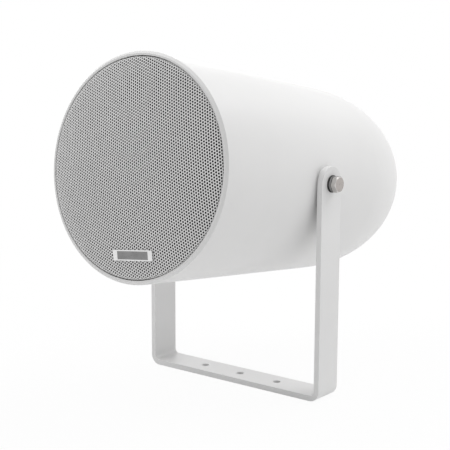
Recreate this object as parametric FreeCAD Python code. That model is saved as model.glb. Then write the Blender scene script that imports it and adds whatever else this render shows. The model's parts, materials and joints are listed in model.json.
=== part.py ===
"""Sound projector: a tapered loudspeaker housing that tilts in a U-shaped bracket. Millimetres, +Z up.

The origin is the middle of the bracket's base, on its underside. X runs along the tilt axis and the
projector faces -Y. The head's pieces are drawn about their own axis, with Y as the depth behind the rim,
and are then moved to the tilt axis and turned to their resting tilt.
"""
import FreeCAD, Part
import math
import os
from FreeCAD import Vector

# Housing shell
front_diameter = 190.0
dome_narrowing = 14.6
dome_depth = 130.5
dome_centre_depth = 228.4
wall = 3.5
rim_width = 3.6
rim_chamfer = 2.0
rim_chamfer_depth = 1.8
socket_depth = 26.0

# Tilt axis and bracket
pivot_depth = 145.2
pivot_height = 193.0
resting_tilt = 7.8
strap_width = 30.0
strap_thickness = 5.0
strap_edge_radius = 0.7
bend_radius = 4.5
base_hole_diameter = 7.0
base_hole_spacing = 42.0
base_hole_count = 3

# Pivot hardware
bolt_diameter = 8.0
bolt_length = 30.0
hex_across_flats = 13.0
hex_face_diameter = 12.2
bolt_head_height = 5.3
bolt_head_turn = 12.0
bolt_clearance = 0.25
thread_clearance = 0.05
washer_diameter = 15.0
washer_thickness = 1.2
spring_washer_diameter = 13.6
spring_washer_thickness = 1.6
spring_washer_slit = 1.4
spring_washer_slant = 30.0
spacer_diameter = 24.0
spacer_thickness = 1.2
pivot_running_gap = 0.1
pivot_pad_diameter = 27.0
pivot_pad_rise = 0.6
pivot_pad_depth = 7.0
inner_pad_diameter = 34.0
backing_washer_diameter = 30.0
backing_washer_thickness = 2.0
nut_height = 6.5

# Grille, its foam and its plate
sheet = 1.0
grille_clearance = 0.6
grille_fold_radius = 1.8
grille_skirt = 10.0
grille_edge_recess = 0.2
grille_dome_radius = 603.0
perforation_pitch = 15.0
perforation_diameter = 9.0
perforation_margin = 2.5
perforation_turn = 11.7
foam_thickness = 3.0
bond_gap = 0.1
plate_width = 42.0
plate_height = 8.8
plate_thickness = 1.2
plate_corner_radius = 1.0
plate_edge_distance = 20.2
plate_turn = 6.2

# Baffle ring and the screw columns that carry it
baffle_clearance = 0.3
baffle_thickness = 4.0
baffle_collar = 2.5
baffle_screw_count = 6
baffle_screw_first_angle = 30.0
screw_column_diameter = 14.0
screw_column_length = 40.0
driver_boss_diameter = 7.4
driver_boss_height = 12.0

# Screws
screw_diameter = 4.0
screw_head_diameter = 6.8
screw_head_height = 2.4
screw_head_round = 1.2
screw_head_room = 0.5
screw_length = 15.0
screw_clearance = 0.3
drill_overrun = 1.0

# Loudspeaker driver
gasket_thickness = 1.5
basket_flange = 2.5
basket_sheet = 2.0
basket_clearance = 0.5
basket_throat_depth = 7.0
basket_neck_diameter = 80.0
basket_ledge_width = 5.0
basket_ledge_depth = 32.0
basket_seat_depth = 42.0
basket_seat_bore = 34.0
basket_window_count = 6
basket_window_angle = 42.0
basket_window_border = 3.5
driver_screw_count = 4
driver_screw_first_angle = 45.0
surround_sheet = 0.8
surround_roll_radius = 5.0
surround_land = 2.8
cone_sheet = 0.8
cone_lip = 3.0
cone_depth = 30.0
cone_bow = 3.0
dust_cap_diameter = 48.0
dust_cap_rise = 7.5
dust_cap_sheet = 0.6
former_diameter = 26.2
former_sheet = 0.35
former_lead_in = 2.0
winding_thickness = 0.6
winding_length = 10.0
spider_sheet = 0.6
spider_wave_count = 4
spider_wave_height = 1.2
spider_neck = 2.0
magnet_plate_diameter = 80.0
magnet_plate_thickness = 5.0
magnet_diameter = 90.0
magnet_bore = 44.0
magnet_thickness = 15.0
coil_gap = 0.4
pole_vent_diameter = 8.0
tag_width = 18.0
tag_length = 16.0
tag_thickness = 1.6
lug_spacing = 9.0
lug_width = 4.0
lug_length = 9.0
lug_thickness = 0.6

# Line transformer on two columns at the rear
rear_column_diameter = 10.0
rear_column_depth = 286.8
transformer_height = 26.0
core_leg = 16.0
core_window = 8.0
core_yoke = 8.0
core_window_length = 24.0
core_stack = 16.0
coil_margin = 0.4
coil_corner_radius = 3.0
strap_sheet = 1.2
strap_ear = 12.0
strap_side = 24.0

# Terminal block on one column at the rear
block_drop = 26.0
block_width = 32.0
block_height = 18.0
block_depth = 16.0
block_pole_spacing = 20.0
insert_diameter = 6.4
insert_bore = 4.0
insert_length = 15.0
clamp_screw_diameter = 3.0
clamp_screw_spacing = 8.0
clamp_tip_gap = 1.0
block_screw_grip = 12.0

# Cable grommet at the rear pole
grommet_diameter = 24.0
grommet_inner_diameter = 21.0
grommet_nose_diameter = 18.0
grommet_waist = 16.0
grommet_bore = 7.0
grommet_lip = 2.6
grommet_pad_diameter = 28.0
grommet_pad_thickness = 5.5

# Leads from the transformer to the driver
lead_diameter = 2.2
lead_height = 62.0
lead_dip = 8.0
lead_arc_share = 0.45
lead_shares = (0.17, 0.5, 0.75)

# Depths closer than this are the same edge
same_depth = 1e-6

origin = Vector(0, 0, 0)
along_x = Vector(1, 0, 0)
along_y = Vector(0, 1, 0)
along_z = Vector(0, 0, 1)

# Housing: the taper runs tangent into the dome's ellipse
front_radius = front_diameter / 2
dome_radius = (front_diameter - dome_narrowing) / 2
dome_end = dome_centre_depth + dome_depth
socket_radius = front_radius - rim_width


def taper_end(rim_radius, rim_depth, radius, depth):
    """Angle, radius and depth where a straight taper from the rim meets a dome of that size."""
    across = rim_radius / radius
    along = (rim_depth - dome_centre_depth) / depth
    angle = math.atan2(along, across) + math.acos(1 / math.hypot(across, along))
    return angle, radius * math.cos(angle), dome_centre_depth + depth * math.sin(angle)


def barrel_radius(depth):
    """Outer radius of the housing's taper at a depth behind the rim."""
    _, end_radius, end_depth = taper_end(front_radius, rim_chamfer_depth, dome_radius, dome_depth)
    share = (depth - rim_chamfer_depth) / (end_depth - rim_chamfer_depth)
    return front_radius + share * (end_radius - front_radius)


# Places along the tilt axis, from the housing outwards
pad_face = barrel_radius(pivot_depth) + pivot_pad_rise
inner_pad_face = pad_face - pivot_pad_depth
nut_seat = inner_pad_face - backing_washer_thickness
leg_inner = pad_face + spacer_thickness + pivot_running_gap
leg_outer = leg_inner + strap_thickness
washer_seat = leg_outer + pivot_running_gap
spring_seat = washer_seat + washer_thickness
head_seat = spring_seat + spring_washer_thickness

# Hole sizes
pilot_hole = screw_diameter + 2 * thread_clearance
screw_hole = screw_diameter + 2 * screw_clearance
pivot_hole = bolt_diameter + 2 * bolt_clearance
clamp_hole = clamp_screw_diameter + 2 * thread_clearance

# Places along the head's axis, from the grille backwards
skirt_end = grille_edge_recess + grille_skirt
baffle_face = socket_depth - baffle_thickness
flange_back = baffle_face - gasket_thickness
flange_front = flange_back - basket_flange
spider_seat = flange_front + basket_ledge_depth
magnet_front = flange_front + basket_seat_depth
magnet_back = magnet_front + magnet_plate_thickness + magnet_thickness
cone_front = flange_front + bond_gap
coil_middle = magnet_front + magnet_plate_thickness / 2
core_back = rear_column_depth - strap_sheet
core_length = core_window_length + 2 * core_yoke
core_middle = core_back - core_length / 2
block_front = rear_column_depth - block_depth

# Radii from the rim inwards
grille_radius = socket_radius - grille_clearance
plate_drop = grille_radius - plate_edge_distance
baffle_radius = socket_radius - baffle_clearance
collar_inner = baffle_radius - baffle_collar
screw_reach = screw_head_diameter / 2 + screw_head_room
baffle_screw_radius = collar_inner - screw_reach
basket_radius = baffle_screw_radius - screw_reach
driver_screw_radius = basket_radius - screw_reach
surround_radius = driver_screw_radius - screw_reach
throat_radius = surround_radius - surround_land
baffle_opening = throat_radius + basket_sheet + basket_clearance
cone_radius = throat_radius - 2 * surround_roll_radius
former_radius = former_diameter / 2
former_outer = former_radius + former_sheet
cone_neck = former_outer + bond_gap
neck_radius = basket_neck_diameter / 2
ledge_radius = neck_radius + basket_ledge_width
winding_inner = former_outer + thread_clearance
winding_outer = winding_inner + winding_thickness
core_width = core_leg + 2 * core_window + 2 * core_yoke
ear_place = core_width / 2 + strap_sheet + bond_gap + strap_ear / 2


def line(start, end):
    """Straight edge between two (radius, depth) points."""
    return Part.LineSegment(Vector(*start, 0), Vector(*end, 0)).toShape()


def arc(start, middle, end):
    """Round edge through three (radius, depth) points."""
    return Part.Arc(Vector(*start, 0), Vector(*middle, 0), Vector(*end, 0)).toShape()


def face_inside(edges):
    """Flat face inside a closed run of edges."""
    return Part.Face(Part.Wire(Part.__sortEdges__(edges)))


def spun(edges, angle=360):
    """Solid turned about the head's axis from the edges of a closed outline."""
    return face_inside(edges).revolve(origin, along_y, angle)


def lines_through(points):
    """Straight edges from each (radius, depth) point to the next."""
    return [line(start, end) for start, end in zip(points, points[1:])]


def spun_corners(points, angle=360):
    """Solid turned about the head's axis from a closed outline of (radius, depth) corners."""
    return spun(lines_through(points + points[:1]), angle)


def ring(outer_radius, inner_radius, front, back):
    """Flat ring about the head's axis."""
    return spun_corners([(inner_radius, front), (outer_radius, front),
                         (outer_radius, back), (inner_radius, back)])


def post(diameter, front, back, place=(0, 0)):
    """Round post along the head's axis at an (x, z) place."""
    return Part.makeCylinder(diameter / 2, back - front, Vector(place[0], front, place[1]), along_y)


def crossbar(diameter, start, end):
    """Round bar along the tilt axis."""
    return Part.makeCylinder(diameter / 2, end - start, Vector(start, pivot_depth, 0), along_x)


def washer(diameter, bore, start, end):
    """Flat washer on the tilt axis."""
    return crossbar(diameter, start, end).cut(crossbar(bore, start, end))


def block(size, middle):
    """Box of a size along x, y, z about its middle."""
    corner = Vector(*[m - s / 2 for m, s in zip(middle, size)])
    return Part.makeBox(*size, corner)


def around(count, radius, first_angle=0.0):
    """Evenly spaced (x, z) places on a circle about the head's axis."""
    angles = [math.radians(first_angle + 360 * index / count) for index in range(count)]
    return [(radius * math.cos(angle), radius * math.sin(angle)) for angle in angles]


def both_sides(shape):
    """The shape and its mirror image on the other side of the head."""
    return Part.makeCompound([shape, shape.mirror(origin, along_x)])


def hexagon(start, end, turn=0.0):
    """Hexagonal prism on the tilt axis."""
    corner = hex_across_flats / math.sqrt(3)
    angles = [math.radians(turn + 60 * index) for index in range(7)]
    corners = [Vector(start, pivot_depth + corner * math.cos(a), corner * math.sin(a)) for a in angles]
    return Part.Face(Part.makePolygon(corners)).extrude(Vector(end - start, 0, 0))


def screw(place, seat, length=screw_length):
    """Round-headed screw along the head's axis, with its head in front of its seat."""
    head = post(screw_head_diameter, seat - screw_head_height, seat, place)
    rims = [edge for edge in head.Edges if abs(edge.CenterOfMass.y - seat + screw_head_height) < same_depth]
    return head.makeFillet(screw_head_round, rims).fuse(post(screw_diameter, seat, seat + length, place))


def screws(places, seat):
    """A set of like screws."""
    return Part.makeCompound([screw(place, seat) for place in places])


def drilled(shape, places, diameter, front, back):
    """The shape with holes along the head's axis, from its front face to a depth."""
    return shape.cut([post(diameter, front - drill_overrun, back, place) for place in places])


def pierced(shape, places, diameter, front, back):
    """The shape with holes along the head's axis, right through from front to back."""
    return drilled(shape, places, diameter, front, back + drill_overrun)


def bullet(rim_radius, rim_depth, radius, depth):
    """Edges of a taper from the rim and the dome that closes it."""
    angle, end_radius, end_depth = taper_end(rim_radius, rim_depth, radius, depth)
    pole = Vector(0, dome_centre_depth + depth, 0)
    ellipse = Part.Ellipse(pole, Vector(radius, dome_centre_depth, 0), Vector(0, dome_centre_depth, 0))
    dome = Part.ArcOfEllipse(ellipse, 0, math.pi / 2 - angle).toShape()
    return [line((rim_radius, rim_depth), (end_radius, end_depth)), dome]


def baffle_screw_places():
    return around(baffle_screw_count, baffle_screw_radius, baffle_screw_first_angle)


def driver_screw_places():
    return around(driver_screw_count, driver_screw_radius, driver_screw_first_angle)


def transformer_places():
    return [(-ear_place, transformer_height), (ear_place, transformer_height)]


def housing_shell():
    """One-piece moulded shell with screw columns, pivot pads and the cable hole."""
    rim = [(0, dome_end), (0, 0), (front_radius - rim_chamfer, 0), (front_radius, rim_chamfer_depth)]
    body = spun(lines_through(rim) + bullet(front_radius, rim_chamfer_depth, dome_radius, dome_depth))
    bore_start = barrel_radius(socket_depth) - wall
    bore = [(0, dome_end - wall), (0, socket_depth), (bore_start, socket_depth)]
    bore_flank = bullet(bore_start, socket_depth, dome_radius - wall, dome_depth - wall)
    inside = spun(lines_through(bore) + bore_flank)
    shell = body.cut([inside, post(2 * socket_radius, -wall, socket_depth)])
    column_end = socket_depth + screw_column_length
    columns = [post(screw_column_diameter, socket_depth, column_end, p) for p in baffle_screw_places()]
    rear_places = transformer_places() + [(0, -block_drop)]
    columns += [post(rear_column_diameter, rear_column_depth, dome_end, p) for p in rear_places]
    pads = [both_sides(crossbar(pivot_pad_diameter, inner_pad_face, pad_face)),
            both_sides(crossbar(inner_pad_diameter, inner_pad_face, barrel_radius(pivot_depth) - wall)),
            post(grommet_pad_diameter, dome_end - grommet_pad_thickness, dome_end)]
    shell = shell.fuse([column.common(body) for column in columns] + pads).removeSplitter()
    shell = drilled(shell, baffle_screw_places(), pilot_hole, socket_depth, socket_depth + screw_length)
    shell = drilled(shell, rear_places, pilot_hole, rear_column_depth, rear_column_depth + screw_length)
    shell = pierced(shell, [(0, 0)], grommet_waist, dome_end - grommet_pad_thickness, dome_end)
    return shell.cut(crossbar(pivot_hole, -front_radius, front_radius))


def grille_cap(radius, fold, apex, dome):
    """Solid cap with a domed front, a rounded edge and a straight side down to the skirt's end."""
    edge = apex + dome - math.sqrt(dome ** 2 - radius ** 2)
    half = radius / 2
    middle = (half, apex + dome - math.sqrt(dome ** 2 - half ** 2))
    side = lines_through([(radius, edge), (radius, skirt_end), (0, skirt_end), (0, apex)])
    cap = spun([arc((0, apex), middle, (radius, edge))] + side)
    rims = [e for e in cap.Edges if abs(e.CenterOfMass.y - edge) < same_depth and e.Length > radius]
    return cap.makeFillet(fold, rims)


def grille_apex():
    """Depth of the grille's front, ahead of the rim, with its edge set a little behind the rim."""
    rise = grille_dome_radius - math.sqrt(grille_dome_radius ** 2 - grille_radius ** 2)
    return grille_edge_recess - rise


def perforations():
    """Staggered (x, z) places of the grille's holes that lie whole inside its fold."""
    reach = grille_radius - grille_fold_radius - perforation_margin - perforation_diameter / 2
    row_step = perforation_pitch * math.sqrt(3) / 2
    rows = int(reach / row_step)
    turn = math.radians(perforation_turn)
    for row in range(-rows, rows + 1):
        across = row * row_step
        shift = perforation_pitch / 2 if row % 2 else 0.0
        columns = int(reach / perforation_pitch) + 1
        for column in range(-columns, columns + 1):
            up = column * perforation_pitch + shift
            if math.hypot(across, up) <= reach:
                yield (across * math.cos(turn) - up * math.sin(turn),
                       across * math.sin(turn) + up * math.cos(turn))


def grille():
    """Domed perforated sheet with a folded edge and a skirt that stands on the baffle's collar."""
    apex = grille_apex()
    outside = grille_cap(grille_radius, grille_fold_radius, apex, grille_dome_radius)
    inside = grille_cap(grille_radius - sheet, grille_fold_radius - sheet, apex + sheet,
                        grille_dome_radius - sheet)
    return drilled(outside.cut(inside), perforations(), perforation_diameter, apex, skirt_end)


def grille_foam():
    """Dished disc of foam bonded behind the grille."""
    radius = grille_radius - grille_fold_radius - sheet
    front = grille_apex() + sheet + bond_gap
    middle_rise, rise = [grille_dome_radius - math.sqrt(grille_dome_radius ** 2 - r ** 2)
                         for r in (radius / 2, radius)]
    back = front + foam_thickness
    return spun([arc((0, front), (radius / 2, front + middle_rise), (radius, front + rise)),
                 arc((0, back), (radius / 2, back + middle_rise), (radius, back + rise)),
                 line((0, front), (0, back)), line((radius, front + rise), (radius, back + rise))])


def grille_plate():
    """Bare plate on the lower part of the grille, square to the dome under it."""
    plate = block((plate_width, plate_thickness, plate_height), (0, -plate_thickness / 2 - bond_gap, 0))
    plate = plate.makeFillet(plate_corner_radius, [e for e in plate.Edges if abs(e.tangentAt(0).y) > 0.5])
    slope = math.asin(plate_drop / grille_dome_radius)
    plate.rotate(origin, along_x, math.degrees(slope))
    depth = grille_apex() + grille_dome_radius * (1 - math.cos(slope))
    plate.translate(Vector(0, depth, -plate_drop))
    plate.rotate(origin, along_y, -plate_turn)
    return plate


def baffle():
    """Ring that carries the driver, with a collar for the grille and bosses for the driver's screws."""
    ring_shape = spun_corners([(baffle_opening, baffle_face), (collar_inner, baffle_face),
                               (collar_inner, skirt_end), (baffle_radius, skirt_end),
                               (baffle_radius, socket_depth), (baffle_opening, socket_depth)])
    bosses = [post(driver_boss_diameter, baffle_face + bond_gap, socket_depth + driver_boss_height, p)
              for p in driver_screw_places()]
    ring_shape = ring_shape.fuse(bosses).removeSplitter()
    ring_shape = pierced(ring_shape, baffle_screw_places(), screw_hole, baffle_face, socket_depth)
    return pierced(ring_shape, driver_screw_places(), pilot_hole, baffle_face, flange_front + screw_length)


def driver_gasket():
    """Foam ring between the driver's flange and the baffle."""
    pad = ring(basket_radius, baffle_opening, flange_back, baffle_face)
    return pierced(pad, driver_screw_places(), screw_hole, flange_back, baffle_face)


def basket():
    """Pressed frame of the driver, with windows between its flange and its spider ledge."""
    throat_end = flange_front + basket_throat_depth
    seat_bore = basket_seat_bore / 2
    wall_outer = throat_radius + basket_sheet
    frame = spun_corners([
        (throat_radius, flange_front), (basket_radius, flange_front), (basket_radius, flange_back),
        (wall_outer, flange_back), (wall_outer, throat_end),
        (ledge_radius + basket_sheet, spider_seat + basket_sheet),
        (neck_radius + basket_sheet, spider_seat + basket_sheet),
        (neck_radius + basket_sheet, magnet_front), (seat_bore, magnet_front),
        (seat_bore, magnet_front - basket_sheet), (neck_radius, magnet_front - basket_sheet),
        (neck_radius, spider_seat), (ledge_radius, spider_seat), (throat_radius, throat_end)])
    front = throat_end + basket_window_border
    back = spider_seat - basket_window_border
    window = spun_corners([(neck_radius, front), (basket_radius, front),
                           (basket_radius, back), (neck_radius, back)], basket_window_angle)
    windows = []
    for index in range(basket_window_count):
        cut = window.copy()
        cut.rotate(origin, along_y, 360 * index / basket_window_count)
        windows.append(cut)
    return pierced(frame.cut(windows), driver_screw_places(), screw_hole, flange_front, flange_back)


def surround():
    """Rubber half roll between the frame and the cone."""
    front = flange_front - surround_sheet
    middle = throat_radius - surround_roll_radius
    outer = surround_roll_radius
    inner = surround_roll_radius - surround_sheet
    land = cone_radius - cone_lip
    lines = lines_through([(middle + outer, front), (surround_radius, front),
                           (surround_radius, flange_front), (middle + inner, flange_front),
                           (middle + inner, front)])
    lines += lines_through([(middle - outer, front), (land, front), (land, flange_front),
                            (middle - inner, flange_front), (middle - inner, front)])
    rolls = [arc((middle - r, front), (middle, front - r), (middle + r, front)) for r in (outer, inner)]
    return spun(lines + rolls)


def cone_points(shift=0.0):
    """Lip, middle and neck of the cone's bowed flank, moved back by a shift."""
    lip = cone_radius - cone_lip
    middle = (lip + cone_neck) / 2
    front = cone_front + shift
    return (lip, front), (middle, front + cone_depth / 2 - cone_bow), (cone_neck, front + cone_depth)


def cone():
    """Paper cone with a flat lip under the surround."""
    front, back = cone_points(), cone_points(cone_sheet)
    lip_back = cone_front + cone_sheet
    edge = lines_through([front[0], (cone_radius, cone_front), (cone_radius, lip_back), back[0]])
    return spun(edge + [arc(*front), arc(*back), line(front[2], back[2])])


def dust_cap():
    """Shallow dome over the voice coil, resting on the cone's flank."""
    flank = arc(*cone_points()).Curve
    radius = dust_cap_diameter / 2
    seat = flank.Center.y - math.sqrt(flank.Radius ** 2 - (radius - flank.Center.x) ** 2)
    edge = seat - bond_gap - dust_cap_sheet
    sphere = (radius ** 2 + dust_cap_rise ** 2) / (2 * dust_cap_rise)
    half_rise = sphere - math.sqrt(sphere ** 2 - (radius / 2) ** 2)
    apex = edge - dust_cap_rise
    domes = [arc((0, apex + shift), (radius / 2, apex + half_rise + shift), (radius, edge + shift))
             for shift in (0, dust_cap_sheet)]
    return spun(domes + [line((0, apex), (0, apex + dust_cap_sheet)),
                         line((radius, edge), (radius, edge + dust_cap_sheet))])


def coil_former():
    """Thin tube that carries the winding, from the cone's neck into the magnet's gap."""
    front = cone_front + cone_depth - former_lead_in
    return ring(former_outer, former_radius, front, coil_middle + winding_length / 2 + former_lead_in)


def coil_winding():
    """Copper winding on the former, centred in the gap."""
    half = winding_length / 2
    return ring(winding_outer, winding_inner, coil_middle - half, coil_middle + half)


def spider():
    """Corrugated cloth disc that centres the voice coil."""
    back = spider_seat - bond_gap
    first = cone_neck + spider_neck
    last = neck_radius
    step = (last - first) / (2 * spider_wave_count)
    edges = []
    for depth in (back - spider_sheet, back):
        edges.append(line((cone_neck, depth), (first, depth)))
        for index in range(2 * spider_wave_count):
            start = first + index * step
            rise = spider_wave_height if index % 2 else -spider_wave_height
            edges.append(arc((start, depth), (start + step / 2, depth + rise), (start + step, depth)))
        edges.append(line((last, depth), (ledge_radius - bond_gap, depth)))
    for radius in (cone_neck, ledge_radius - bond_gap):
        edges.append(line((radius, back - spider_sheet), (radius, back)))
    return spun(edges)


def top_plate():
    """Steel ring on the front of the magnet."""
    bore = winding_outer + coil_gap
    return ring(magnet_plate_diameter / 2, bore, magnet_front, magnet_front + magnet_plate_thickness)


def magnet():
    """Ferrite ring."""
    front = magnet_front + magnet_plate_thickness
    return ring(magnet_diameter / 2, magnet_bore / 2, front, magnet_back)


def back_plate():
    """Steel plate with a vented pole through the magnet."""
    pole = former_radius - coil_gap
    vent = pole_vent_diameter / 2
    back = magnet_back + magnet_plate_thickness
    return spun_corners([(vent, magnet_front), (pole, magnet_front), (pole, magnet_back),
                         (magnet_plate_diameter / 2, magnet_back), (magnet_plate_diameter / 2, back),
                         (vent, back)])


def terminal_board():
    """Small board behind the basket's ledge."""
    front = spider_seat + basket_sheet
    foot = neck_radius + basket_sheet + bond_gap
    return block((tag_width, tag_thickness, tag_length),
                 (0, front + tag_thickness / 2, foot + tag_length / 2))


def solder_lugs():
    """Two flat lugs on the terminal board, reaching past its edge."""
    depth = spider_seat + basket_sheet + tag_thickness + lug_thickness / 2
    height = neck_radius + basket_sheet + bond_gap + tag_length
    lug = block((lug_width, lug_thickness, lug_length), (lug_spacing / 2, depth, height))
    return both_sides(lug)


def transformer_core():
    """Laminated core with two windows beside its middle leg."""
    middle = (0, core_middle, transformer_height)
    core = block((core_width, core_length, core_stack), middle)
    offset = (core_leg + core_window) / 2
    window = (core_window, core_window_length, 2 * core_stack)
    return core.cut([block(window, (x, core_middle, transformer_height)) for x in (-offset, offset)])


def transformer_coil():
    """Taped winding on the core's middle leg."""
    middle = (0, core_middle, transformer_height)
    length = core_window_length - 2 * coil_margin
    build = 2 * (core_window - coil_margin)
    coil = block((core_leg + build, length, core_stack + build), middle)
    coil = coil.makeFillet(coil_corner_radius, [e for e in coil.Edges if abs(e.tangentAt(0).y) > 0.5])
    leg = (core_leg + 2 * coil_margin, 2 * length, core_stack + 2 * coil_margin)
    return coil.cut(block(leg, middle))


def transformer_bracket():
    """Folded strap round the core with two ears on the screw columns."""
    side_place = core_width / 2 + bond_gap + strap_sheet / 2
    base = block((2 * (ear_place + strap_ear / 2), strap_sheet, core_stack),
                 (0, core_back + strap_sheet / 2, transformer_height))
    sides = [block((strap_sheet, strap_side, core_stack), (x, core_back - strap_side / 2, transformer_height))
             for x in (-side_place, side_place)]
    strap = base.fuse(sides).removeSplitter()
    return pierced(strap, transformer_places(), screw_hole, core_back, rear_column_depth)


def block_poles():
    return [-block_pole_spacing / 2, block_pole_spacing / 2]


def clamp_places():
    """(x, z) places of the clamp screws on the terminal block's face."""
    rows = (-block_drop - clamp_screw_spacing / 2, -block_drop + clamp_screw_spacing / 2)
    return [(x, z) for x in block_poles() for z in rows]


def upright(diameter, length, x):
    """Round bar along Z through the terminal block's middle."""
    start = Vector(x, block_front + block_depth / 2, -block_drop - length / 2)
    return Part.makeCylinder(diameter / 2, length, start, along_z)


def terminal_block():
    """Ceramic block with two wire channels, clamp holes and a fixing hole."""
    middle = block_front + block_depth / 2
    body = block((block_width, block_depth, block_height), (0, middle, -block_drop))
    channel = insert_diameter + 2 * thread_clearance
    body = body.cut([upright(channel, 2 * block_height, x) for x in block_poles()])
    body = drilled(body, clamp_places(), clamp_hole, block_front, middle)
    return pierced(body, [(0, -block_drop)], screw_hole, block_front, rear_column_depth)


def terminal_inserts():
    """Brass tubes that take the wires."""
    middle = block_front + block_depth / 2
    tubes = []
    for x in block_poles():
        tube = upright(insert_diameter, insert_length, x).cut(upright(insert_bore, 2 * insert_length, x))
        tubes.append(drilled(tube, clamp_places(), clamp_hole, block_front, middle))
    return Part.makeCompound(tubes)


def clamp_screws():
    """Small screws that clamp the wires in the inserts."""
    tip = block_front + block_depth / 2 - clamp_tip_gap
    return Part.makeCompound([post(clamp_screw_diameter, block_front, tip, p) for p in clamp_places()])


def cable_grommet():
    """Rubber grommet with a groove round the housing's cable hole."""
    inside = dome_end - grommet_pad_thickness
    front = inside - grommet_lip
    nose = dome_end + grommet_lip
    bore = grommet_bore / 2
    waist = grommet_waist / 2 - bond_gap
    return spun_corners([(bore, front), (grommet_inner_diameter / 2, front),
                         (grommet_inner_diameter / 2, inside), (waist, inside), (waist, dome_end),
                         (grommet_diameter / 2, dome_end), (grommet_nose_diameter / 2, nose), (bore, nose)])


def lead_path(points):
    """Straight runs joined by tangent arcs, as large as the runs allow."""
    edges = []
    start = points[0]
    for before, corner, after in zip(points, points[1:], points[2:]):
        back, ahead = before - corner, after - corner
        turn = math.pi - back.getAngle(ahead)
        reach = lead_arc_share * min(back.Length, ahead.Length)
        first = corner + back * (reach / back.Length)
        last = corner + ahead * (reach / ahead.Length)
        inward = (back.normalize() + ahead.normalize()).normalize()
        radius = reach / math.tan(turn / 2)
        middle = corner + inward * (radius / math.cos(turn / 2) - radius)
        edges += [Part.LineSegment(start, first).toShape(), Part.Arc(first, middle, last).toShape()]
        start = last
    return Part.Wire(edges + [Part.LineSegment(start, points[-1]).toShape()])


def driver_leads():
    """Two insulated leads from the transformer's winding to the driver's lugs."""
    x = lug_spacing / 2
    lug_face = spider_seat + basket_sheet + tag_thickness + lug_thickness
    lug_height = neck_radius + basket_sheet + tag_length
    coil_top = transformer_height + core_stack / 2 + core_window - coil_margin
    run = core_middle - lug_face
    leave, sag, rise = [lug_face + share * run for share in lead_shares]
    points = [Vector(x, lug_face, lug_height), Vector(x, leave, lug_height),
              Vector(x, sag, lug_height - lead_dip), Vector(x, rise, lead_height),
              Vector(x, core_middle, lead_height), Vector(x, core_middle, coil_top)]
    path = lead_path(points)
    section = Part.Wire(Part.makeCircle(lead_diameter / 2, points[0], points[1] - points[0]))
    return both_sides(path.makePipeShell([section], True, True))


def spacer_washers():
    """Plastic washers between the bracket's legs and the housing's pivot pads."""
    return both_sides(washer(spacer_diameter, pivot_hole, pad_face, pad_face + spacer_thickness))


def flat_washers():
    """Flat steel washers on the outside of the legs."""
    return both_sides(washer(washer_diameter, pivot_hole, washer_seat, spring_seat))


def spring_washers():
    """Split spring washers under the bolt heads."""
    coil = washer(spring_washer_diameter, pivot_hole, spring_seat, head_seat)
    slit = block((4 * spring_washer_thickness, spring_washer_slit, spring_washer_diameter),
                 (spring_seat + spring_washer_thickness / 2, pivot_depth, spring_washer_diameter / 2))
    slit.rotate(Vector(spring_seat, pivot_depth, 0), along_z, spring_washer_slant)
    return both_sides(coil.cut(slit))


def pivot_bolts():
    """Hexagon bolts of the tilt axis."""
    face = hex_face_diameter / 2
    base = face + bolt_head_height * math.sqrt(3)
    end = head_seat + bolt_head_height
    bevel = Part.makeCone(base, face, bolt_head_height, Vector(head_seat, pivot_depth, 0), along_x)
    head = hexagon(head_seat, end, bolt_head_turn).common(bevel)
    return both_sides(head.fuse(crossbar(bolt_diameter, head_seat - bolt_length, head_seat)).removeSplitter())


def backing_washers():
    """Large washers inside the housing."""
    return both_sides(washer(backing_washer_diameter, pivot_hole, nut_seat, inner_pad_face))


def lock_nuts():
    """Nuts inside the housing."""
    nut = hexagon(nut_seat - nut_height, nut_seat)
    thread = crossbar(bolt_diameter + 2 * thread_clearance, nut_seat - 2 * nut_height, nut_seat)
    return both_sides(nut.cut(thread))


def u_bracket():
    """Flat bar bent to a U, with round leg ends, pivot holes and a row of base holes."""
    outer_bend = bend_radius + strap_thickness
    top = pivot_height + strap_width / 2
    bend = leg_outer - outer_bend
    diagonal = math.sqrt(0.5)
    edges = []
    for out, low, radius in ((leg_outer, 0, outer_bend), (leg_inner, strap_thickness, bend_radius)):
        edges.append(line((-bend, low), (bend, low)))
        for side in (-1, 1):
            corner = (side * (bend + radius * diagonal), outer_bend - radius * diagonal)
            edges.append(arc((side * bend, low), corner, (side * out, outer_bend)))
            edges.append(line((side * out, outer_bend), (side * out, top)))
    edges += [line((side * leg_inner, top), (side * leg_outer, top)) for side in (-1, 1)]
    strap = face_inside(edges).extrude(Vector(0, 0, strap_width))
    strap.rotate(origin, along_x, 90)
    strap.translate(Vector(0, strap_width / 2, 0))
    span = 2 * leg_outer
    upright_part = Part.makeBox(span, strap_width, pivot_height, Vector(-leg_outer, -strap_width / 2, 0))
    round_top = Part.makeCylinder(strap_width / 2, span, Vector(-leg_outer, 0, pivot_height), along_x)
    strap = strap.common(upright_part.fuse(round_top)).removeSplitter()
    strap = strap.makeFillet(strap_edge_radius, strap.Edges)
    holes = [Part.makeCylinder(pivot_hole / 2, 2 * span, Vector(-span, 0, pivot_height), along_x)]
    middle = (base_hole_count - 1) / 2
    for index in range(base_hole_count):
        place = Vector((index - middle) * base_hole_spacing, 0, -strap_thickness)
        holes.append(Part.makeCylinder(base_hole_diameter / 2, 3 * strap_thickness, place, along_z))
    return strap.cut(holes)


def on_the_bracket(shape):
    """A piece of the head, moved to the tilt axis and turned to its resting tilt, front up."""
    shape.translate(Vector(0, -pivot_depth, 0))
    shape.rotate(origin, along_x, -resting_tilt)
    shape.translate(Vector(0, 0, pivot_height))
    return shape


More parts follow.
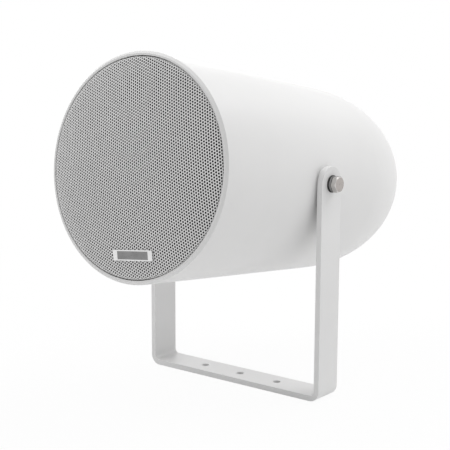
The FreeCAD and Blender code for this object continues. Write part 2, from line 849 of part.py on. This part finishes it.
head_pieces = {
    "housing_shell": housing_shell, "grille": grille, "grille_foam": grille_foam,
    "grille_plate": grille_plate, "baffle": baffle, "driver_gasket": driver_gasket, "basket": basket,
    "surround": surround, "cone": cone, "dust_cap": dust_cap, "coil_former": coil_former,
    "coil_winding": coil_winding, "spider": spider, "top_plate": top_plate, "magnet": magnet,
    "back_plate": back_plate, "terminal_board": terminal_board, "solder_lugs": solder_lugs,
    "driver_leads": driver_leads, "transformer_core": transformer_core,
    "transformer_coil": transformer_coil, "transformer_bracket": transformer_bracket,
    "terminal_block": terminal_block, "terminal_inserts": terminal_inserts,
    "clamp_screws": clamp_screws, "cable_grommet": cable_grommet, "spacer_washers": spacer_washers,
    "flat_washers": flat_washers, "spring_washers": spring_washers, "pivot_bolts": pivot_bolts,
    "backing_washers": backing_washers, "lock_nuts": lock_nuts,
}
pieces = {name: on_the_bracket(make()) for name, make in head_pieces.items()}
pieces["baffle_screws"] = on_the_bracket(screws(baffle_screw_places(), baffle_face))
pieces["driver_screws"] = on_the_bracket(screws(driver_screw_places(), flange_front))
pieces["transformer_screws"] = on_the_bracket(screws(transformer_places(), core_back))
pieces["block_screw"] = on_the_bracket(screw((0, -block_drop), block_front, block_depth + block_screw_grip))
pieces["u_bracket"] = u_bracket()

os.makedirs("parts", exist_ok=True)
for name, shape in pieces.items():
    shape.exportStep("parts/" + name + ".step")
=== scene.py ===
"""Sound projector in a U-shaped bracket: finishes, modelled pieces, studio and camera.

Metres in Blender; sizes are written in millimetres and scaled by mm. The head's pieces are modelled about
its own axis, with Y as the depth behind the rim, and are then set on the tilt axis at the resting tilt.
"""
import bmesh
import bpy
import json
import math
import numpy as np
from mathutils import Matrix, Vector


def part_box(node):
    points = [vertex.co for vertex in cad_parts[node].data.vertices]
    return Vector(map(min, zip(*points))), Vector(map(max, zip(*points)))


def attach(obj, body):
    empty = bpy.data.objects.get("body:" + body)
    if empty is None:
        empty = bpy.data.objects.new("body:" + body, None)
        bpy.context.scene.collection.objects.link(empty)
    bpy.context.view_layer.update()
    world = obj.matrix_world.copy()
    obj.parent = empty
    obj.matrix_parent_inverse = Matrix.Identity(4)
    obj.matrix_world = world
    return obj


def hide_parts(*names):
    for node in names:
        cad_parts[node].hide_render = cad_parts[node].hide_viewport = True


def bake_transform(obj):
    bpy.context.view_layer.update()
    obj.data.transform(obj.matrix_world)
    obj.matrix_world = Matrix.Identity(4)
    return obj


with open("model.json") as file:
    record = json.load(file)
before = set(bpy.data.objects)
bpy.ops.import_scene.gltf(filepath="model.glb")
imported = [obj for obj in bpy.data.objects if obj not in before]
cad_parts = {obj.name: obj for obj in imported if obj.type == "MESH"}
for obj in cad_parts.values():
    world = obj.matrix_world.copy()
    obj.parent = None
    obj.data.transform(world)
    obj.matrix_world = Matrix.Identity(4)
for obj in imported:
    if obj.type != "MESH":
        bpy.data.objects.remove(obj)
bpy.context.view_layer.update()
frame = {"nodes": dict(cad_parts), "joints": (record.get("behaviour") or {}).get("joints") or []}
nodes = frame["nodes"]
joints = {joint["name"]: joint for joint in frame["joints"]}
mm = 0.001

# Corners nearer than the first merge; directions whose cosine is above the second count as the same
merge_distance = 0.01
aligned = 0.99

# Edges that bend by more than these angles stay sharp
usual_crease = 30
housing_crease = 25
bracket_crease = 40
bolt_crease = 25
soft_crease = 40

# Head and tilt axis
pivot_height = joints["head_tilt"]["pos_m"][2] / mm
pivot_depth = 145.2
resting_tilt = 7.8
head_middle = (0, 0, pivot_height * mm)
on_the_bracket = (Matrix.Translation(head_middle)
                  @ Matrix.Rotation(math.radians(-resting_tilt), 4, "X")
                  @ Matrix.Translation((0, -pivot_depth * mm, 0)))

# Grille: a shallow dome, steeper near its edge and folded to a skirt, a little off the socket's middle
grille_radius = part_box("grille")[1][0] / mm
grille_fold = 2.3
grille_shift = -0.45
grille_rise = 5.17
grille_edge_rise = 1.71
grille_edge_power = 6
grille_edge_recess = 0.2
skirt_start = 2.8
grille_skirt_end = 10.2
grille_sheet = 0.7
grille_apex = grille_edge_recess - grille_rise - grille_edge_rise
dome_steps = 60
fold_steps = 8

# Holes of the grille; the rhombus of cells is wide enough, in reaches, to hold the perforated disc
hole_pitch = 2.5
hole_diameter = 1.92
hole_sides = 10
lattice_turn = 41.7
perforated_reach = 93.2
rhombus_side = 2.34
cell_merge_distance = 0.02

# Plate on the grille
plate_width = 42.0
plate_height = 8.8
plate_thickness = 1.2
plate_corner = 1.0
plate_edge = 0.12
plate_border = 1.0
plate_end_border = 4.6
plate_recess = 0.25
plate_drop = grille_radius - 20.2
plate_turn = 7.6
plate_lean = 1.4

# Bracket
leg_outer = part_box("u_bracket")[1][0] / mm
strap_width = 30.0
strap_thickness = 5.0
strap_edge = 0.7
bend_radius = 4.5
base_hole_diameter = 7.0
base_hole_spacing = 42.0
pivot_hole_diameter = 8.5

# Pivot bolts; the shank reaches into the head by its root, and the painted shade near the seat and the
# duller face begin and end at distances from seat and face
bolt_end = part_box("pivot_bolts")[1][0] / mm
bolt_head_height = 5.3
bolt_across_flats = 13.0
bolt_face_diameter = 12.2
bolt_head_turn = 12.0
bolt_diameter = 8.0
bolt_length = 30.0
bolt_root = 1.0
bolt_edge = 0.4
bolt_seat = bolt_end - bolt_head_height
seat_shade_start = 0.2
seat_shade_end = 1.1
face_shade_start = 0.12
face_shade_end = 0.04

# Studio light
room_light = 0.51
high_power = 11.9
high_place = (0.5, 0.8, 1.5)
right_power = 1.8
right_place = (1.1, 1.0, 0.6)
left_power = 3.5
left_place = (-1.2, 0.9, 0.7)
front_power = 7.6
front_place = (-0.6, -0.35, 1.5)
lamp_size = 1.2
floor_size = 8
floor_whiteness = 0.94
floor_shadow_reach = 350.0

# Camera at the photograph's viewpoint
view_azimuth = math.radians(37.936)
view_elevation = math.radians(10.044)
view_roll = math.radians(0.239)
view_shift_across = 15.092
view_shift_up = 46.118
view_distance = 1049.30
focal_pixels = 1152.35
photo_pixels = 450


class Reading:
    """A value in a node tree. An expression on it adds Math nodes."""

    def __init__(self, tree, output):
        self.tree = tree
        self.output = output

    def maths(self, operation, other):
        return self.tree.add("Math", {"operation": operation}, {0: self, 1: other})

    def __add__(self, other):
        return self.maths("ADD", other)

    def __mul__(self, other):
        return self.maths("MULTIPLY", other)

    __radd__ = __add__
    __rmul__ = __mul__


class Tree:
    """A node tree to which nodes are added with their settings and the values of their sockets."""

    def __init__(self, tree):
        self.tree = tree

    def feed(self, socket, value):
        if isinstance(value, Reading):
            self.tree.links.new(value.output, socket)
        else:
            socket.default_value = value

    def add(self, kind, settings, values, output=0):
        """A node of a kind: its settings first, then the values or links of its sockets."""
        node = self.tree.nodes.new("ShaderNode" + kind)
        for key, value in settings.items():
            setattr(node, key, value)
        for key, value in values.items():
            self.feed(node.inputs[key], value)
        return Reading(self, node.outputs[output])

    def ray(self, *kinds):
        """1 on rays of any of these kinds and 0 on others."""
        return sum(self.add("LightPath", {}, {}, "Is %s Ray" % kind) for kind in kinds)


class Finish(Tree):
    """A finish made of shader nodes on Object coordinates."""

    def __init__(self, name, **constants):
        self.material = bpy.data.materials.new(name)
        self.material.use_nodes = True
        super().__init__(self.material.node_tree)
        self.shader = self.tree.nodes["Principled BSDF"]
        self.place = self.add("TexCoord", {}, {}, "Object")
        self.paint(**constants)

    def noise(self, size, detail=3, stretch=None):
        """Soft noise whose features are about a size in millimetres."""
        place = self.place
        if stretch:
            place = self.add("VectorMath", {"operation": "MULTIPLY"}, {0: place, 1: stretch})
        return self.add("TexNoise", {}, {"Vector": place, "Scale": 1 / (size * mm), "Detail": detail})

    def band(self, value, low, high):
        """A value stretched so that low becomes 0 and high becomes 1."""
        return self.add("MapRange", {}, {"Value": value, "From Min": low, "From Max": high})

    def mixed(self, factor, first, second):
        """A colour between two others."""
        return self.add("Mix", {"data_type": "RGBA"}, {0: factor, 6: first, 7: second}, 2)

    def paint(self, **values):
        """Sets or links the shader's sockets."""
        for socket, value in values.items():
            self.feed(self.shader.inputs[socket.replace("_", " ")], value)
        return self.material

    def grain(self, height, depth):
        """Small relief of a depth in millimetres."""
        return self.add("Bump", {}, {"Strength": 1.0, "Distance": depth * mm, "Height": height})


def grey(level, warmth=0.0):
    return (level * (1 + warmth), level, level * (1 - warmth), 1)


def moulded_plastic(name, light, dark, roughness):
    """Moulded plastic: a fine spark-eroded grain, faint flow clouds and uneven sheen."""
    finish = Finish(name, IOR=1.5)
    clouds = finish.noise(size=90, detail=4)
    grain = finish.noise(size=0.7, detail=2)
    smear = finish.noise(size=24, detail=5)
    tone = finish.band(clouds + grain * 0.25, low=0.35, high=0.9)
    return finish.paint(Base_Color=finish.mixed(tone, dark, light),
                        Roughness=smear * 0.16 + (roughness - 0.08),
                        Normal=finish.grain(grain, depth=0.012))


def powder_coat(name, light, dark, roughness):
    """Powder coat: orange peel over fine grain, with slightly polished patches."""
    finish = Finish(name, IOR=1.5)
    peel = finish.noise(size=2.6, detail=2)
    dust = finish.noise(size=0.5, detail=2)
    clouds = finish.noise(size=60, detail=4)
    tone = finish.band(clouds + dust * 0.3, low=0.4, high=0.9)
    return finish.paint(Base_Color=finish.mixed(tone, dark, light),
                        Roughness=peel * 0.14 + (roughness - 0.07),
                        Normal=finish.grain(peel + dust * 0.4, depth=0.03))


def worked_metal(name, light, dark, roughness, stretch=(1, 1, 12), scratch_depth=0.004):
    """Metal with fine drawn scratches and patches of duller skin."""
    finish = Finish(name, Metallic=1.0)
    scratches = finish.noise(size=0.6, detail=4, stretch=stretch)
    patches = finish.noise(size=5)
    tone = finish.band(patches * 0.7 + scratches * 0.5, low=0.4, high=0.85)
    return finish.paint(Base_Color=finish.mixed(tone, dark, light),
                        Roughness=scratches * 0.18 + patches * 0.1 + (roughness - 0.14),
                        Normal=finish.grain(scratches, scratch_depth))


def bolt_steel(name):
    """Stainless steel: bright flanks with painted shade darkening them towards the bolt's seat, and a
    duller, warmer face.
    """
    finish = Finish(name, Metallic=1.0)
    across = finish.add("SeparateXYZ", {}, {0: finish.place})
    distance = finish.add("Math", {"operation": "ABSOLUTE"}, {0: across})
    # Painted shade: the flanks darken to almost black near the seat, where the washers shade the head
    painted_seat_shade = finish.band(distance, low=(bolt_seat + seat_shade_start) * mm,
                        high=(bolt_seat + seat_shade_end) * mm)
    face = finish.band(distance, low=(bolt_end - face_shade_start) * mm,
                       high=(bolt_end - face_shade_end) * mm)
    scratches = finish.noise(size=0.25, detail=4)
    patches = finish.noise(size=3)
    bright = finish.mixed(painted_seat_shade, grey(0.04), (0.58, 0.565, 0.55, 1))
    dull = finish.mixed(patches, (0.34, 0.315, 0.30, 1), (0.43, 0.40, 0.385, 1))
    return finish.paint(Base_Color=finish.mixed(face, bright, dull),
                        Roughness=face * 0.14 + patches * 0.08 + scratches * 0.06 + 0.08,
                        Normal=finish.grain(scratches, depth=0.002))


def soft_black(name, light, dark, roughness, pore, depth):
    """Rubber, foam and cloth: pores or threads of a size, with painted shade making them darker where they
    are deep.
    """
    finish = Finish(name, IOR=1.45)
    pores = finish.noise(pore)
    clouds = finish.noise(20 * pore)
    # Painted shade: the tone follows the pores' relief, so deep pores take the dark tone
    tone = finish.band(pores * 0.7 + clouds * 0.5, low=0.35, high=0.9)
    return finish.paint(Base_Color=finish.mixed(tone, dark, light),
                        Roughness=clouds * 0.12 + (roughness - 0.06),
                        Normal=finish.grain(pores, depth))


# Light tone, dark tone and roughness of each finish, then the relief where it isn't the usual one
finishes = {
    "housing_white": moulded_plastic("housing_white", grey(0.80, 0.003), grey(0.765, 0.004), 0.42),
    "bracket_paint": powder_coat("bracket_paint", grey(0.81, 0.002), grey(0.775, 0.003), 0.42),
    "grille_paint": powder_coat("grille_paint", grey(0.88, 0.002), grey(0.84, 0.002), 0.48),
    "foam_black": soft_black("foam_black", grey(0.02), grey(0.006), 0.95, pore=0.8, depth=0.3),
    "plate_silver": worked_metal("plate_silver", grey(0.84), grey(0.74), 0.36, stretch=(0.1, 1, 1)),
    "zinc_steel": worked_metal("zinc_steel", (0.70, 0.70, 0.72, 1), (0.52, 0.52, 0.53, 1), 0.38),
    "stainless": bolt_steel("stainless"),
    "black_plastic": moulded_plastic("black_plastic", grey(0.035), grey(0.022), 0.5),
    "spacer_plastic": moulded_plastic("spacer_plastic", grey(0.20), grey(0.15), 0.55),
    "basket_black": powder_coat("basket_black", grey(0.03), grey(0.02), 0.45),
    "rubber_black": soft_black("rubber_black", grey(0.028), grey(0.016), 0.7, pore=0.9, depth=0.02),
    "paper_black": soft_black("paper_black", grey(0.035), grey(0.02), 0.85, pore=0.5, depth=0.05),
    "former_amber": moulded_plastic("former_amber", (0.42, 0.19, 0.04, 1), (0.32, 0.13, 0.03, 1), 0.35),
    "copper": worked_metal("copper", (0.82, 0.42, 0.25, 1), (0.62, 0.28, 0.15, 1), 0.35),
    "spider_cloth": soft_black("spider_cloth", (0.42, 0.26, 0.09, 1), (0.30, 0.17, 0.05, 1), 0.85,
                               pore=0.6, depth=0.1),
    "ferrite": soft_black("ferrite", grey(0.055), grey(0.035), 0.55, pore=0.5, depth=0.03),
    "board_brown": moulded_plastic("board_brown", (0.24, 0.11, 0.045, 1), (0.17, 0.075, 0.03, 1), 0.5),
    "brass": worked_metal("brass", (0.78, 0.60, 0.28, 1), (0.60, 0.44, 0.18, 1), 0.33),
    "lead_red": moulded_plastic("lead_red", (0.45, 0.03, 0.02, 1), (0.36, 0.02, 0.015, 1), 0.4),
    "core_steel": worked_metal("core_steel", grey(0.42), grey(0.26), 0.5, stretch=(1, 14, 1),
                               scratch_depth=0.02),
    "coil_tape": moulded_plastic("coil_tape", (0.75, 0.58, 0.16, 1), (0.66, 0.48, 0.11, 1), 0.32),
    "block_ceramic": moulded_plastic("block_ceramic", grey(0.80, 0.01), grey(0.72, 0.015), 0.22),
}
plate_field = worked_metal("plate_field", grey(0.30), grey(0.23), 0.42, stretch=(0.1, 1, 1))
dull_steel = worked_metal("dull_steel", grey(0.46), grey(0.38), 0.30)
# Flat washers: dark oxided steel, made darker still as painted shade for the contact shade about the
# bolt's seat
dark_steel_and_painted_shade = worked_metal("dark_steel_and_painted_shade", grey(0.085), grey(0.055), 0.36)
for node in nodes.values():
    for place in node.material_slots:
        place.material = finishes[place.material.name.split(".")[0]]
# The flat washers take the dark steel with its painted shade
nodes["flat_washers"].material_slots[0].material = dark_steel_and_painted_shade
nodes["spring_washers"].material_slots[0].material = dull_steel


def begin(name, add, **settings):
    """Starts a piece from a primitive and opens it for editing."""
    bpy.ops.object.select_all(action="DESELECT")
    add(**settings)
    piece = bpy.context.object
    piece.name = name
    piece.data.name = name
    bpy.ops.object.transform_apply(location=True, rotation=True, scale=True)
    bpy.ops.object.mode_set(mode="EDIT")
    return piece


def begin_from_solid(name, node):
    """Starts a piece from a copy of a solid's mesh, with its doubles merged."""
    piece = bpy.data.objects.new(name, nodes[node].data.copy())
    piece.data.transform(nodes[node].matrix_world)
    piece.data.materials.clear()
    bpy.context.collection.objects.link(piece)
    bpy.ops.object.select_all(action="DESELECT")
    bpy.context.view_layer.objects.active = piece
    piece.select_set(True)
    bpy.ops.object.mode_set(mode="EDIT")
    outwards()
    bpy.ops.object.mode_set(mode="OBJECT")
    return piece


def pick(piece, kind, wanted):
    """Selects the corners, edges or faces of a piece that are wanted, and nothing else."""
    bpy.ops.mesh.select_mode(type=kind)
    bpy.ops.mesh.select_all(action="DESELECT")
    mesh = bmesh.from_edit_mesh(piece.data)
    mesh.normal_update()
    for part in {"VERT": mesh.verts, "EDGE": mesh.edges, "FACE": mesh.faces}[kind]:
        if wanted(part):
            part.select_set(True)
    mesh.select_flush_mode()
    bmesh.update_edit_mesh(piece.data)


def faces_along(piece, direction):
    """Selects the faces that point one way."""
    pick(piece, "FACE", lambda face: face.normal.dot(direction) > aligned)


def edges_along(piece, direction):
    """Selects the edges that run one way."""
    def runs_along(edge):
        first, second = edge.verts
        return abs((second.co - first.co).normalized().dot(direction)) > aligned

    pick(piece, "EDGE", runs_along)


def extrude(*offset):
    bpy.ops.mesh.extrude_region_move(TRANSFORM_OT_translate={"value": Vector(offset) * mm})


def outwards():
    """Merges the doubles of the open piece and turns its faces outwards."""
    bpy.ops.mesh.select_all(action="SELECT")
    bpy.ops.mesh.remove_doubles(threshold=merge_distance * mm)
    bpy.ops.mesh.normals_make_consistent(inside=False)


def modify(piece, kind, **settings):
    """Adds a modifier and applies it."""
    if bpy.context.object.mode == "EDIT":
        bpy.ops.object.mode_set(mode="OBJECT")
    bpy.context.view_layer.objects.active = piece
    modifier = piece.modifiers.new(kind.lower(), kind)
    for key, value in settings.items():
        setattr(modifier, key, value)
    bpy.ops.object.modifier_apply(modifier=modifier.name)


def combine(piece, operation, add, **settings):
    """Cuts a piece with a primitive, keeps what both share or joins them."""
    bpy.ops.object.mode_set(mode="OBJECT")
    tool = begin("tool", add, **settings)
    bpy.ops.object.mode_set(mode="OBJECT")
    modify(piece, "BOOLEAN", operation=operation, object=tool, solver="EXACT")
    bpy.data.objects.remove(tool)
    bpy.ops.object.select_all(action="DESELECT")
    piece.select_set(True)
    bpy.ops.object.mode_set(mode="EDIT")


def end(piece, body, slot, replaced, crease=usual_crease, place=None):
    """Closes a piece, sets it in its place and tells the frame what it is."""
    if bpy.context.object.mode == "EDIT":
        bpy.ops.object.mode_set(mode="OBJECT")
    if place:
        piece.data.transform(place)
    bpy.ops.object.shade_smooth_by_angle(angle=math.radians(crease))
    modify(piece, "WEIGHTED_NORMAL", keep_sharp=True)
    piece.data.materials.append(finishes[slot])
    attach(piece, body)
    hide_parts(replaced)


def moulded_housing():
    """The housing with the seams of its mesh merged, so that light runs over them without a line."""
    piece = begin_from_solid("moulded_housing", "housing_shell")
    bpy.ops.mesh.customdata_custom_splitnormals_clear()
    end(piece, "head", "housing_white", "housing_shell", crease=housing_crease)


def grille_form(radius):
    """Depth and slope of the domed sheet at a distance from its middle."""
    share = radius / grille_radius
    depth = grille_apex + grille_rise * share ** 2 + grille_edge_rise * share ** grille_edge_power
    steepness = (2 * grille_rise * share
                 + grille_edge_power * grille_edge_rise * share ** (grille_edge_power - 1)) / grille_radius
    return depth, math.atan(steepness)


def grille_meridian():
    """Lengths along the grille's outline from its middle, with the radius and depth there."""
    slope = grille_form(grille_radius - grille_fold)[1]
    fold_start = grille_radius - grille_fold * (1 - math.sin(slope))
    points = [(radius, grille_form(radius)[0]) for radius in np.linspace(0, fold_start, dome_steps)]
    centre_depth = points[-1][1] + grille_fold * math.cos(slope)
    for angle in np.linspace(slope, math.pi / 2, fold_steps + 1)[1:]:
        points.append((grille_radius - grille_fold * (1 - math.sin(angle)),
                       centre_depth - grille_fold * math.cos(angle)))
    points.append((grille_radius, grille_skirt_end))
    points = np.array(points)
    steps = np.hypot(*np.diff(points, axis=0).T)
    return np.concatenate([[0], np.cumsum(steps)]), points


def perforated_grille():
    """Perforated sheet: one cell with its hole, repeated over the sheet and pressed over the form."""
    piece = begin("grille_sheet", bpy.ops.mesh.primitive_circle_add, vertices=6,
                  radius=hole_pitch / math.sqrt(3) * mm)
    bpy.ops.mesh.primitive_circle_add(vertices=hole_sides, radius=hole_diameter / 2 * mm)
    bpy.ops.mesh.select_all(action="SELECT")
    bpy.ops.mesh.bridge_edge_loops()
    across = Vector((hole_pitch, 0, 0)) * mm
    along = Vector((hole_pitch / 2, hole_pitch * math.sqrt(3) / 2, 0)) * mm
    count = int(rhombus_side * perforated_reach / hole_pitch)
    for offset in (across, along):
        modify(piece, "ARRAY", count=count, use_relative_offset=False, use_constant_offset=True,
               constant_offset_displace=offset, use_merge_vertices=True,
               merge_threshold=cell_merge_distance * mm)
    bpy.ops.object.mode_set(mode="EDIT")
    outwards()
    middle = (across + along) * ((count - 1) / 2)
    pick(piece, "FACE", lambda face: (face.calc_center_median() - middle).length > perforated_reach * mm)
    bpy.ops.mesh.delete(type="FACE")
    bpy.ops.object.mode_set(mode="OBJECT")
    places = np.empty(len(piece.data.vertices) * 3)
    piece.data.vertices.foreach_get("co", places)
    flat = (places.reshape(-1, 3) - np.array(middle)) / mm
    reach = np.hypot(flat[:, 0], flat[:, 1])
    turn = np.arctan2(flat[:, 1], flat[:, 0]) + math.radians(lattice_turn)
    lengths, points = grille_meridian()
    radius = np.interp(reach, lengths, points[:, 0])
    depth = np.interp(reach, lengths, points[:, 1])
    pressed = np.stack([radius * np.cos(turn), depth, radius * np.sin(turn)], 1) * mm
    piece.data.vertices.foreach_set("co", pressed.ravel())
    piece.data.update()
    bpy.ops.object.mode_set(mode="EDIT")
    bpy.ops.mesh.primitive_cylinder_add(vertices=160, radius=grille_radius * mm, end_fill_type="NOTHING",
                                        depth=(grille_skirt_end - skirt_start) * mm,
                                        location=(0, (grille_skirt_end + skirt_start) / 2 * mm, 0),
                                        rotation=(math.pi / 2, 0, 0))
    bpy.ops.mesh.select_all(action="SELECT")
    bpy.ops.mesh.normals_make_consistent(inside=False)
    modify(piece, "SOLIDIFY", thickness=grille_sheet * mm, offset=-1, use_rim=True, use_rim_only=True)
    in_the_socket = Matrix.Translation((grille_shift * mm, 0, 0))
    end(piece, "head", "grille_paint", "grille", place=on_the_bracket @ in_the_socket)


def blank_plate():
    """Plain plate with rounded corners, a raised border and a sunk field."""
    piece = begin("blank_plate", bpy.ops.mesh.primitive_cube_add, size=1,
                  scale=Vector((plate_width, plate_thickness, plate_height)) * mm,
                  location=(0, -plate_thickness / 2 * mm, 0))
    edges_along(piece, Vector((0, 1, 0)))
    bpy.ops.mesh.bevel(offset=plate_corner * mm, segments=5)
    faces_along(piece, Vector((0, -1, 0)))
    bpy.ops.mesh.inset(thickness=plate_border * mm)
    narrower = (plate_width / 2 - plate_end_border) / (plate_width / 2 - plate_border)
    bpy.ops.transform.resize(value=(narrower, 1, 1), center_override=(0, 0, 0))
    extrude(0, plate_recess, 0)
    modify(piece, "BEVEL", width=plate_edge * mm, segments=2, limit_method="ANGLE")
    for face in piece.data.polygons:
        sunk = face.center.y > (plate_recess / 2 - plate_thickness) * mm
        face.material_index = int(sunk and face.normal.y < -aligned)
    depth, slope = grille_form(plate_drop)
    on_the_grille = (Matrix.Rotation(math.radians(-plate_turn), 4, "Y")
                     @ Matrix.Translation(Vector((0, depth, -plate_drop)) * mm)
                     @ Matrix.Rotation(slope, 4, "X")
                     @ Matrix.Rotation(math.radians(plate_lean), 4, "Y"))
    end(piece, "head", "plate_silver", "grille_plate", place=on_the_bracket @ on_the_grille)
    piece.data.materials.append(plate_field)


def bracket_strap():
    """Flat bar bent to a U: one leg from its round end to the middle of the base, mirrored and drilled."""
    leg_inner = leg_outer - strap_thickness
    bend_outer = bend_radius + strap_thickness
    bend_place = leg_outer - bend_outer
    sliver = merge_distance * mm
    piece = begin("bracket_strap", bpy.ops.mesh.primitive_circle_add, vertices=64,
                  radius=strap_width / 2 * mm, location=(leg_inner * mm, 0, pivot_height * mm),
                  rotation=(0, math.pi / 2, 0))
    pick(piece, "VERT", lambda corner: corner.co.z < pivot_height * mm - sliver)
    bpy.ops.mesh.delete(type="VERT")
    pick(piece, "VERT", lambda corner: corner.co.z < pivot_height * mm + sliver)
    extrude(0, 0, bend_outer - pivot_height)
    bpy.ops.mesh.select_all(action="SELECT")
    bpy.ops.mesh.edge_face_add()
    extrude(strap_thickness, 0, 0)
    outwards()
    faces_along(piece, Vector((0, 0, -1)))
    bpy.ops.mesh.spin(steps=12, angle=-math.pi / 2, axis=(0, 1, 0),
                      center=(bend_place * mm, 0, bend_outer * mm))
    extrude(-bend_place, 0, 0)
    bpy.ops.mesh.delete(type="FACE")
    modify(piece, "MIRROR", use_axis=(True, False, False), merge_threshold=sliver)
    bpy.ops.object.mode_set(mode="EDIT")
    outwards()
    for index in (-1, 0, 1):
        combine(piece, "DIFFERENCE", bpy.ops.mesh.primitive_cylinder_add, vertices=48,
                radius=base_hole_diameter / 2 * mm, depth=3 * strap_thickness * mm,
                location=(index * base_hole_spacing * mm, 0, strap_thickness / 2 * mm))
    combine(piece, "DIFFERENCE", bpy.ops.mesh.primitive_cylinder_add, vertices=48,
            radius=pivot_hole_diameter / 2 * mm, depth=3 * leg_outer * mm,
            location=(0, 0, pivot_height * mm), rotation=(0, math.pi / 2, 0))
    modify(piece, "BEVEL", width=strap_edge * mm, segments=3, limit_method="ANGLE",
           angle_limit=math.radians(bracket_crease))
    end(piece, "bracket", "bracket_paint", "u_bracket", crease=bracket_crease)


def pivot_bolt_pair():
    """Hexagon bolts of the tilt axis: a prism rounded by a cone, with its shank, on both sides."""
    face = bolt_face_diameter / 2
    head_place = ((bolt_seat + bolt_head_height / 2) * mm, 0, 0)
    shank_length = bolt_length + bolt_root
    along_x = (0, math.pi / 2, 0)
    piece = begin("pivot_bolt_pair", bpy.ops.mesh.primitive_cylinder_add, vertices=6,
                  radius=bolt_across_flats / math.sqrt(3) * mm, depth=bolt_head_height * mm,
                  location=head_place, rotation=along_x)
    bpy.ops.object.mode_set(mode="OBJECT")
    piece.data.transform(Matrix.Rotation(math.radians(bolt_head_turn), 4, "X"))
    bpy.ops.object.mode_set(mode="EDIT")
    combine(piece, "INTERSECT", bpy.ops.mesh.primitive_cone_add, vertices=96,
            radius1=(face + bolt_head_height * math.sqrt(3)) * mm, radius2=face * mm,
            depth=bolt_head_height * mm, location=head_place, rotation=along_x)
    modify(piece, "BEVEL", width=bolt_edge * mm, segments=3, limit_method="ANGLE",
           angle_limit=math.radians(bolt_crease))
    bpy.ops.object.mode_set(mode="EDIT")
    combine(piece, "UNION", bpy.ops.mesh.primitive_cylinder_add, vertices=48,
            radius=bolt_diameter / 2 * mm, depth=shank_length * mm,
            location=((bolt_seat + bolt_root - shank_length / 2) * mm, 0, 0), rotation=along_x)
    modify(piece, "MIRROR", use_axis=(True, False, False), use_mirror_merge=False)
    bpy.ops.object.mode_set(mode="EDIT")
    outwards()
    on_the_axis = Matrix.Translation((0, pivot_depth * mm, 0))
    end(piece, "head", "stainless", "pivot_bolts", crease=bolt_crease, place=on_the_bracket @ on_the_axis)


def suspension(name, node, slot):
    """A soft ring of the driver, copied from its solid and smoothed: its inner edge meets the cone, its
    outer edge the basket.
    """
    piece = begin_from_solid(name, node)
    bpy.ops.object.shade_smooth_by_angle(angle=math.radians(soft_crease))
    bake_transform(piece)
    piece.data.materials.append(finishes[slot])
    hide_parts(node)


def studio_floor_finish():
    """Pale floor that the camera and polished metal see as white, with a faint shadow kept on it."""
    finish = Finish("studio_floor", Base_Color=grey(0.9), Roughness=0.9)
    glow = finish.add("Emission", {}, {"Color": grey(1), "Strength": 1.0})
    lit = Reading(finish, finish.shader.outputs[0])
    away = finish.add("VectorMath", {"operation": "LENGTH"}, {0: finish.place}, "Value")
    fade = finish.band(away, low=floor_shadow_reach * mm, high=2 * floor_shadow_reach * mm)
    whiteness = fade * (1 - floor_whiteness) + floor_whiteness
    share = finish.ray("Camera", "Glossy", "Transmission") * whiteness
    shown = finish.add("MixShader", {}, {0: share, 1: lit, 2: glow})
    finish.feed(finish.tree.nodes["Material Output"].inputs["Surface"], shown)
    return finish.material


def studio_room():
    """A plain room that lights the object, seen as white by the camera and in polished metal."""
    world = bpy.data.worlds.new("studio")
    world.use_nodes = True
    room = Tree(world.node_tree)
    light = room.add("Background", {}, {"Color": grey(1), "Strength": room_light})
    backdrop = room.add("Background", {}, {"Color": grey(1), "Strength": 1.0})
    share = room.ray("Camera", "Glossy", "Transmission")
    shown = room.add("MixShader", {}, {0: share, 1: light, 2: backdrop})
    room.feed(room.tree.nodes["World Output"].inputs["Surface"], shown)
    return world


def softbox(name, place, power):
    """A square soft lamp that faces the head."""
    bpy.ops.object.light_add(type="AREA", location=place)
    lamp = bpy.context.object
    lamp.name = name
    lamp.data.size = lamp_size
    lamp.data.energy = power
    lamp.rotation_euler = (Vector(head_middle) - Vector(place)).to_track_quat("-Z", "Y").to_euler()


def photo_camera():
    """The camera at the photograph's viewpoint, with its roll and its off-centre aim."""
    back = Vector((math.sin(view_azimuth) * math.cos(view_elevation),
                   -math.cos(view_azimuth) * math.cos(view_elevation), math.sin(view_elevation)))
    right = Vector((math.cos(view_azimuth), math.sin(view_azimuth), 0))
    up = back.cross(right)
    right, up = (right * math.cos(view_roll) + up * math.sin(view_roll),
                 up * math.cos(view_roll) - right * math.sin(view_roll))
    eye = (back * view_distance - right * view_shift_across - up * view_shift_up) * mm
    bpy.ops.object.camera_add()
    camera = bpy.context.object
    camera.name = "photo_camera"
    camera.matrix_world = Matrix((right, up, back)).transposed().to_4x4()
    camera.location = eye + Vector(head_middle)
    camera.data.sensor_width = 36.0
    camera.data.sensor_fit = "HORIZONTAL"
    camera.data.lens = focal_pixels * camera.data.sensor_width / photo_pixels
    camera.data.clip_start = 0.05
    return camera


# Pieces
moulded_housing()
perforated_grille()
blank_plate()
bracket_strap()
pivot_bolt_pair()
suspension("spider_disc", "spider", "spider_cloth")
suspension("surround_roll", "surround", "rubber_black")

# Studio
bpy.ops.mesh.primitive_plane_add(size=floor_size, location=(0, 0, 0))
floor = bpy.context.object
floor.name = "studio_floor"
floor.data.materials.append(studio_floor_finish())
bpy.context.scene.world = studio_room()
softbox("high_softbox", high_place, high_power)
softbox("right_softbox", right_place, right_power)
softbox("left_softbox", left_place, left_power)
softbox("front_softbox", front_place, front_power)

# Camera
bpy.context.scene.camera = photo_camera()
bpy.context.scene.view_settings.view_transform = "Standard"
